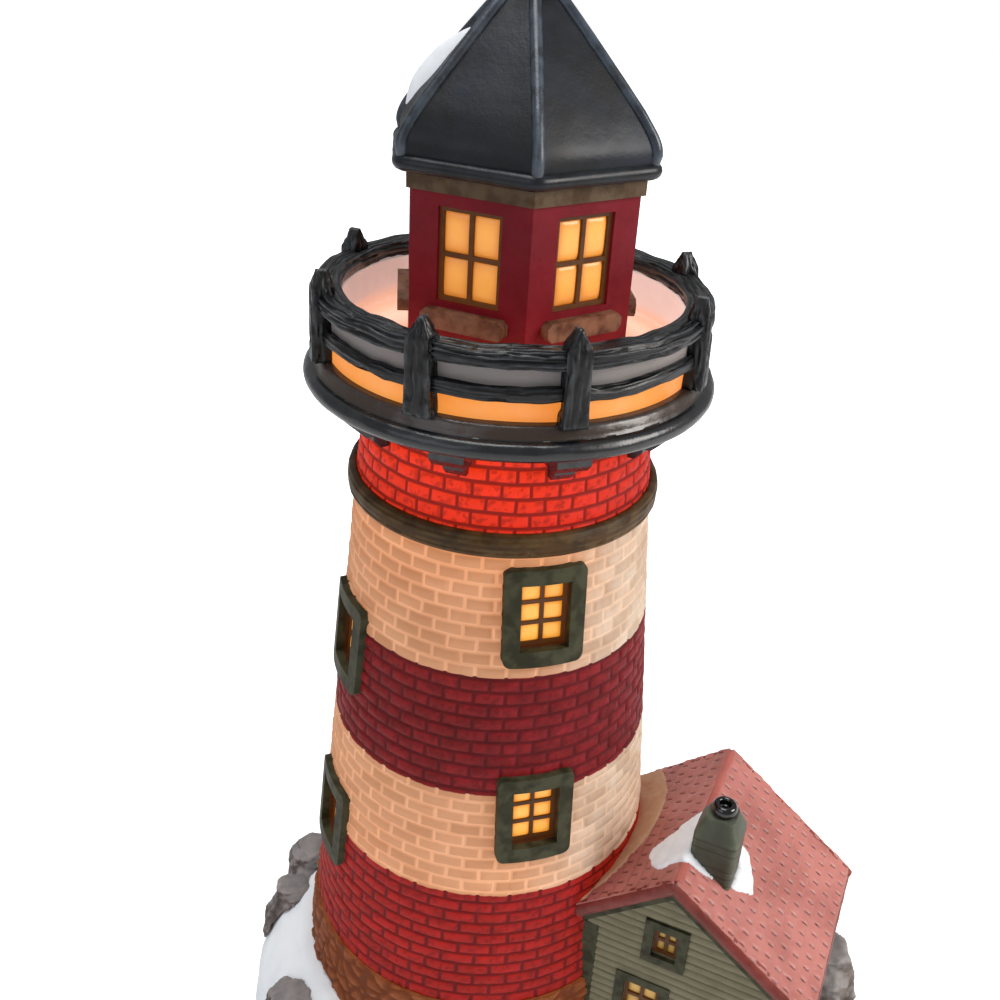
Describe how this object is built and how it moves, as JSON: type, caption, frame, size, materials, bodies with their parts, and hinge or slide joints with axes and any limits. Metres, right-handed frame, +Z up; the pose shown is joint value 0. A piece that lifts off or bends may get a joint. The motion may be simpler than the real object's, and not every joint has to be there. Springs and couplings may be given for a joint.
{
  "type": "lighted porcelain lighthouse ornament",
  "caption": "Table-top porcelain lighthouse with gallery, lantern room and keeper's cottage, lit from inside by a lamp unit that lifts out of its base.",
  "frame": {"origin": "middle of the footprint's bounding box, on the table", "axes": "+Z up the tower, -Y towards the front windows, +X towards the cottage"},
  "size_m": [0.1881, 0.1442, 0.3145],
  "materials": {
    "porcelain_snow": "smooth matte white bisque with faint blue-grey shading",
    "painted_rock": "rough grey-brown painted bisque, snow-dusted",
    "fieldstone": "brown hand-painted stones with dark joints",
    "brick_shell": "translucent bisque bricks in red and cream bands, matte",
    "olive_trim": "matte hand-painted dark olive",
    "glazing_bars": "matte dark brown-olive paint",
    "amber_pane": "translucent amber sheet, slightly glossy",
    "gallery_black": "satin black-brown paint",
    "gallery_wall": "thin translucent grey-white bisque",
    "fence_black": "grained satin black paint",
    "lantern_crimson": "satin crimson paint",
    "sill_brown": "satin brown paint",
    "roof_black": "satin black glaze with a blue-grey sheen",
    "clapboard": "matte grey-olive boards",
    "shingle": "matte dusty pink shingles, redder at the edges",
    "tan_filler": "matte tan stipple",
    "chimney_grey": "matte grey-green brick",
    "pot_black": "gloss black glaze",
    "lamp_white": "moulded off-white plastic",
    "spring_steel": "thin bright spring steel",
    "zinc_tube": "zinc-plated steel",
    "holder_card": "cream sleeve",
    "bulb_brass": "rolled brass, bright",
    "bulb_glass": "clear glass over a warm glow"
  },
  "bodies": {
    "lighthouse": {"base_casting": "porcelain_snow", "foot_rocks": "painted_rock", "yard_boulder": "painted_rock", "stone_footing": "fieldstone", "tower_shell": "brick_shell", "ring_moulding": "olive_trim", "gallery_deck": "gallery_black", "gallery_corbels": "gallery_black", "parapet_wall": "gallery_wall", "fence_posts": "fence_black", "fence_top_rail": "fence_black", "fence_mid_rail": "fence_black", "lantern_room": "lantern_crimson", "lantern_window_bars": "glazing_bars", "lantern_panes": "amber_pane", "lantern_sills": "sill_brown", "lantern_cornice": "olive_trim", "lantern_roof": "roof_black", "roof_finial": "roof_black", "roof_snow": "porcelain_snow", "cottage_walls": "clapboard", "cottage_window_frames": "olive_trim", "cottage_window_bars": "glazing_bars", "cottage_window_panes": "amber_pane", "corner_boards": "olive_trim", "rake_boards": "olive_trim", "cottage_roof": "shingle", "valley_flashing": "tan_filler", "chimney": "chimney_grey", "chimney_pot": "pot_black", "chimney_snow": "porcelain_snow", "window_frame_upper_front": "olive_trim", "window_bars_upper_front": "glazing_bars", "window_pane_upper_front": "amber_pane", "window_frame_upper_left": "olive_trim", "window_bars_upper_left": "glazing_bars", "window_pane_upper_left": "amber_pane", "window_frame_lower_front": "olive_trim", "window_bars_lower_front": "glazing_bars", "window_pane_lower_front": "amber_pane", "window_frame_lower_left": "olive_trim", "window_bars_lower_left": "glazing_bars", "window_pane_lower_left": "amber_pane"},
    "lamp_unit": {"closure_disc": "lamp_white", "spring_clips": "spring_steel", "riser_tube": "zinc_tube", "lampholder_strap": "zinc_tube", "lower_lampholder": "holder_card", "upper_lampholder": "holder_card"},
    "upper_bulb": {"upper_bulb_cap": "bulb_brass", "upper_bulb_glass": "bulb_glass"},
    "lower_bulb": {"lower_bulb_cap": "bulb_brass", "lower_bulb_glass": "bulb_glass"}
  },
  "joints": [
    {"name": "lamp_unit_slide", "type": "slide", "parent": "lighthouse", "child": "lamp_unit", "axis": [0, 0, 1], "range_m": [-0.23, 0]},
    {"name": "upper_bulb_turn", "type": "hinge", "parent": "lamp_unit", "child": "upper_bulb", "pos_m": [-0.0305, 0.00053, 0.17], "axis": [0, 0, 1], "range_deg": [0, 1440]},
    {"name": "lower_bulb_turn", "type": "hinge", "parent": "lamp_unit", "child": "lower_bulb", "pos_m": [-0.0095, 0.00053, 0.024], "axis": [0, 0, 1], "range_deg": [0, 1440]}
  ]
}
